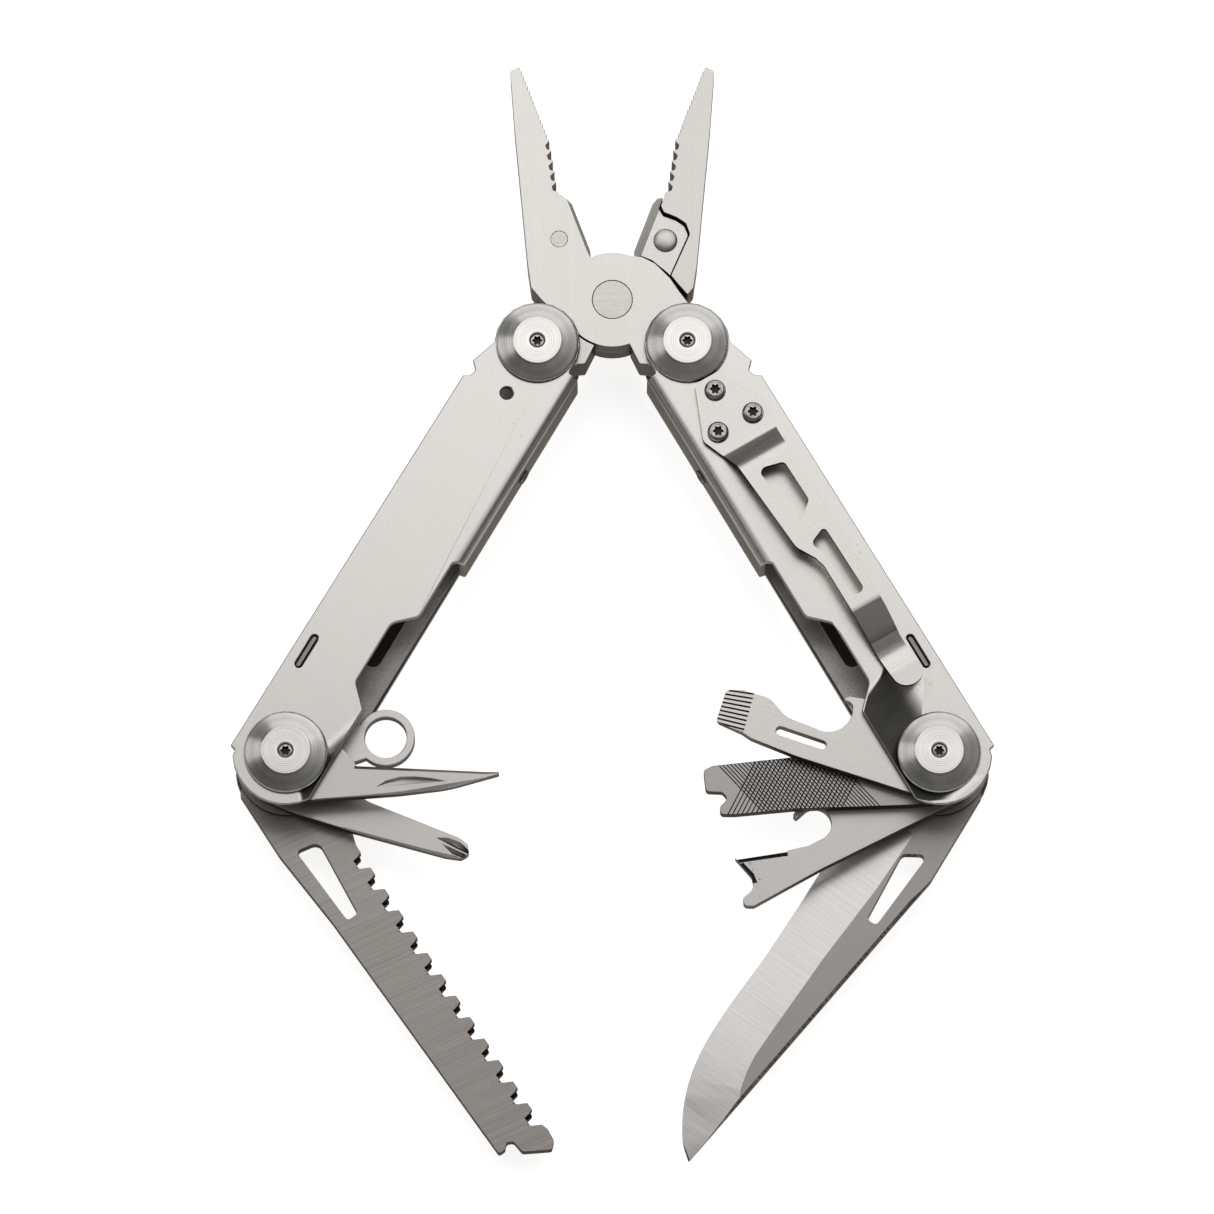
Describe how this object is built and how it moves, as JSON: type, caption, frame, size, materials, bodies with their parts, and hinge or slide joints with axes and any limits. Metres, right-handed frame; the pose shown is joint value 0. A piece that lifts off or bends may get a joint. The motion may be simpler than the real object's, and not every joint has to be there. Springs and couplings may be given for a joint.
{
  "type": "multi tool",
  "caption": "Plier multi-tool with two folding handles, fanned blades and drivers, and a pocket clip; jaws, handles and each tool turn on real pivots.",
  "frame": {"origin": "Middle of the open tool in plan, at the underside of the rear pivot heads it lies on.", "axes": "+Y towards the plier tips, +Z from the rear to the front side with the pocket clip, +X to the right handle."},
  "size_m": [0.1386, 0.205, 0.0206],
  "materials": {
    "plate_steel": "satin",
    "jaw_steel": "satin",
    "tool_steel": "satin",
    "knife_steel": "satin",
    "saw_steel": "brushed",
    "dark_screws": "polished",
    "turned_steel": "turned",
    "inner_steel": "satin",
    "clip_steel": "satin"
  },
  "bodies": {
    "plier_pin": {"plier_pivot_pin": "plate_steel"},
    "jaw_left": {"jaw_left": "jaw_steel", "cutter_left": "jaw_steel", "cutter_screw_left": "jaw_steel"},
    "jaw_right": {"jaw_right": "jaw_steel", "cutter_right": "jaw_steel", "cutter_screw_right": "jaw_steel"},
    "handle_left": {"left_back_plate": "plate_steel", "left_front_plate": "plate_steel", "left_liner": "inner_steel", "left_lower_barrel": "turned_steel", "left_lower_cap": "turned_steel", "left_lower_screw": "dark_screws", "left_middle_washer": "plate_steel", "left_rear_washer": "plate_steel", "left_spacer": "inner_steel", "left_tool_spring": "inner_steel", "left_upper_barrel": "turned_steel", "left_upper_cap": "turned_steel", "left_upper_screw": "dark_screws", "left_wall_pin": "inner_steel"},
    "handle_right": {"clip_screw_1": "dark_screws", "clip_screw_2": "dark_screws", "clip_screw_3": "dark_screws", "pocket_clip": "clip_steel", "right_back_plate": "plate_steel", "right_front_plate": "plate_steel", "right_liner": "inner_steel", "right_lower_barrel": "turned_steel", "right_lower_cap": "turned_steel", "right_lower_screw": "dark_screws", "right_middle_washer": "plate_steel", "right_rear_washer": "plate_steel", "right_spacer": "inner_steel", "right_tool_spring": "inner_steel", "right_upper_barrel": "turned_steel", "right_upper_cap": "turned_steel", "right_upper_screw": "dark_screws", "right_wall_pin": "inner_steel"},
    "awl": {"awl": "tool_steel"},
    "lanyard_ring": {"lanyard_ring": "tool_steel"},
    "phillips_driver": {"phillips_driver": "tool_steel"},
    "saw": {"saw": "saw_steel"},
    "bottle_opener": {"bottle_opener": "tool_steel"},
    "file": {"file": "tool_steel"},
    "can_opener": {"can_opener": "tool_steel"},
    "knife": {"knife": "knife_steel"}
  },
  "joints": [
    {"name": "plier_squeeze", "type": "hinge", "parent": "plier_pin", "child": "jaw_left", "pos_m": [0, 0.05728, 0.0114], "axis": [0, 0, -1], "range_deg": [-4, 0]},
    {"name": "jaws_close_with_fold", "type": "hinge", "parent": "plier_pin", "child": "jaw_right", "pos_m": [0, 0.05728, 0.0114], "axis": [0, 0, 1], "range_deg": [0, 41]},
    {"name": "handle_left_fold", "type": "hinge", "parent": "jaw_right", "child": "handle_left", "pos_m": [-0.01379, 0.0484, 0.0114], "axis": [0, 0, -1], "range_deg": [0, 169.5]},
    {"name": "handle_right_fold", "type": "hinge", "parent": "jaw_left", "child": "handle_right", "pos_m": [0.01379, 0.0484, 0.0114], "axis": [0, 0, 1], "range_deg": [0, 169.5]},
    {"name": "awl_fold", "type": "hinge", "parent": "handle_left", "child": "awl", "pos_m": [-0.05926, -0.02927, 0.0114], "axis": [0, 0, 1], "range_deg": [-114.3, 61.2]},
    {"name": "lanyard_ring_fold", "type": "hinge", "parent": "handle_left", "child": "lanyard_ring", "pos_m": [-0.05926, -0.02927, 0.0114], "axis": [0, 0, 1], "range_deg": [-130.3, 45.1]},
    {"name": "phillips_driver_fold", "type": "hinge", "parent": "handle_left", "child": "phillips_driver", "pos_m": [-0.05926, -0.02927, 0.0114], "axis": [0, 0, 1], "range_deg": [-96.3, 79.2]},
    {"name": "saw_fold", "type": "hinge", "parent": "handle_left", "child": "saw", "pos_m": [-0.05926, -0.02927, 0.0114], "axis": [0, 0, 1], "range_deg": [-61.4, 116.7]},
    {"name": "bottle_opener_fold", "type": "hinge", "parent": "handle_right", "child": "bottle_opener", "pos_m": [0.05926, -0.02927, 0.0114], "axis": [0, 0, -1], "range_deg": [-135.3, 40.1]},
    {"name": "file_fold", "type": "hinge", "parent": "handle_right", "child": "file", "pos_m": [0.05926, -0.02927, 0.0114], "axis": [0, 0, -1], "range_deg": [-114.3, 61.2]},
    {"name": "can_opener_fold", "type": "hinge", "parent": "handle_right", "child": "can_opener", "pos_m": [0.05926, -0.02927, 0.0114], "axis": [0, 0, -1], "range_deg": [-93.3, 82.2]},
    {"name": "knife_fold", "type": "hinge", "parent": "handle_right", "child": "knife", "pos_m": [0.05926, -0.02927, 0.0114], "axis": [0, 0, -1], "range_deg": [-61.4, 116.7]}
  ],
  "couplings": [
    {"joint": "handle_right_fold", "follows": "handle_left_fold", "ratio": 1},
    {"joint": "jaws_close_with_fold", "follows": "handle_left_fold", "ratio": 0.24189}
  ]
}
